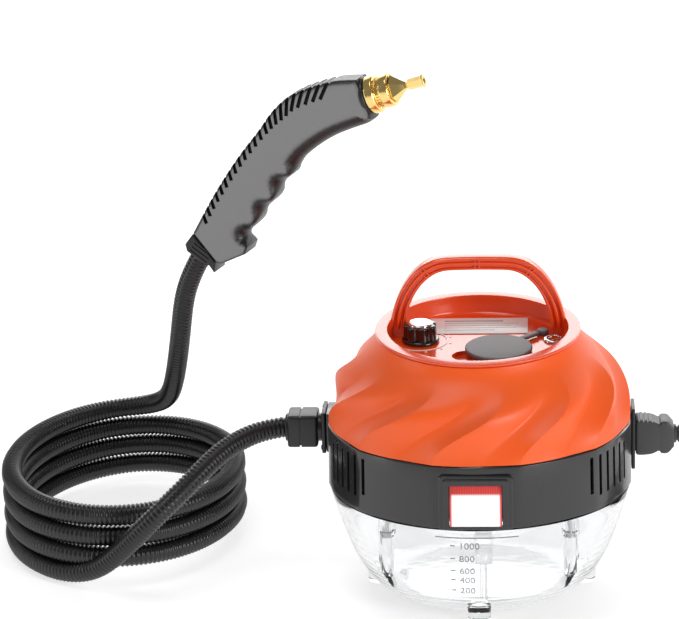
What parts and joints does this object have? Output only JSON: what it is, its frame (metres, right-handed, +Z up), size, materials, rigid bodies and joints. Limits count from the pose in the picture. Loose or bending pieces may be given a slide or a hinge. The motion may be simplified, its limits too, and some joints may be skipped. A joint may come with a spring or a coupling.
{
  "type": "wallpaper steamer",
  "caption": "Portable steam stripper: clear water bowl under a fluted orange dome with a carrying arch, coiled corrugated hose and a brass-tipped steam gun",
  "frame": {"origin": "middle of the bottom of the box round the base and the gun, on the floor, without the hose and the mains lead", "axes": "+Z up; the front of the base, with its power switch, looks along -Y; the hose is on -X and the mains lead on +X"},
  "size_m": [0.6774, 0.3505, 0.3762],
  "materials": {
    "clear_plastic": "clear moulded polycarbonate",
    "lens_plastic": "clear greenish lamp lens",
    "orange_satin": "orange moulded shell, satin",
    "orange_gloss": "orange moulded, glossy",
    "black_gloss": "black moulded ring",
    "black_plastic": "black moulded plastic",
    "gun_plastic": "black gun shell, satin",
    "knob_plastic": "glossy black knob",
    "bright_cap": "bright plated trim",
    "print_white": "printed foil",
    "cap_rubber": "dark grey moulded rubber",
    "switch_red": "translucent red rocker",
    "brass": "polished brass",
    "steel": "plated steel",
    "boiler_metal": "cast aluminium and plain metal",
    "pump_metal": "pump coil yoke",
    "pale_plastic": "pale moulded plastic",
    "silicone": "silicone",
    "hose_black": "black corrugated hose",
    "lead_black": "black mains lead"
  },
  "bodies": {
    "root": {"control_panel": "orange_gloss", "rating_label": "print_white", "dial_ring": "print_white", "steam_regulator": "pale_plastic", "filler_neck": "black_plastic", "cap_anchor": "cap_rubber", "indicator_bezel": "bright_cap", "indicator_lens": "lens_plastic", "gun_shell_front": "gun_plastic", "gun_shell_back": "gun_plastic", "gun_steam_tube": "brass", "gun_screw_1": "steel", "gun_screw_2": "steel", "nozzle_spigot": "brass", "gun_boot": "black_plastic", "tank_bowl": "clear_plastic", "tank_seal": "silicone", "chassis_plate": "black_plastic", "housing_screw_1": "steel", "housing_screw_2": "steel", "housing_screw_3": "steel", "housing_screw_4": "steel", "mid_ring": "black_gloss", "dome_cover": "orange_satin", "carry_handle": "orange_gloss", "switch_housing": "black_plastic", "switch_terminal_left": "steel", "switch_terminal_right": "steel", "boiler_body": "boiler_metal", "heating_element": "boiler_metal", "boiler_thermostat": "boiler_metal", "pump_body": "pale_plastic", "pump_coil": "pump_metal", "suction_tube": "silicone", "suction_strainer": "pale_plastic", "feed_tube": "silicone", "steam_tube": "silicone", "control_board": "pale_plastic", "hose_gland": "black_plastic", "hose_coupling": "black_plastic", "power_inlet": "black_plastic", "cord_connector": "lead_black", "hose_rise": "hose_black", "hose_coil": "hose_black", "hose_run": "hose_black", "mains_cord": "lead_black", "mains_coil": "lead_black", "mains_tail": "lead_black", "mains_plug": "lead_black", "plug_pin_1": "steel", "plug_pin_2": "steel", "cord_tie": "lead_black"},
    "knob": {"steam_knob": "knob_plastic", "knob_cap": "bright_cap"},
    "rocker": {"power_rocker": "switch_red"},
    "cap": {"filler_cap": "cap_rubber"},
    "nozzle": {"collar_nut": "brass", "nozzle_cone": "brass", "nozzle_tip": "brass"}
  },
  "joints": [
    {"name": "knob_turn", "type": "hinge", "parent": "root", "child": "knob", "pos_m": [0.01008, 0.00785, 0.18632], "axis": [0, -0.0732, 0.9973], "range_deg": [0, 270]},
    {"name": "rocker_tilt", "type": "hinge", "parent": "root", "child": "rocker", "pos_m": [0.05258, -0.10816, 0.102], "axis": [1, 0, 0], "range_deg": [0, 9]},
    {"name": "cap_lift", "type": "hinge", "parent": "root", "child": "cap", "pos_m": [0.10008, 0.01973, 0.1884], "axis": [-0.7282, 0.6835, 0.0502], "range_deg": [0, 48]},
    {"name": "nozzle_turn", "type": "hinge", "parent": "root", "child": "nozzle", "pos_m": [-0.03395, 0.07189, 0.3565], "axis": [0.9237, -0.2475, 0.2924], "range_deg": [0, 350]}
  ]
}
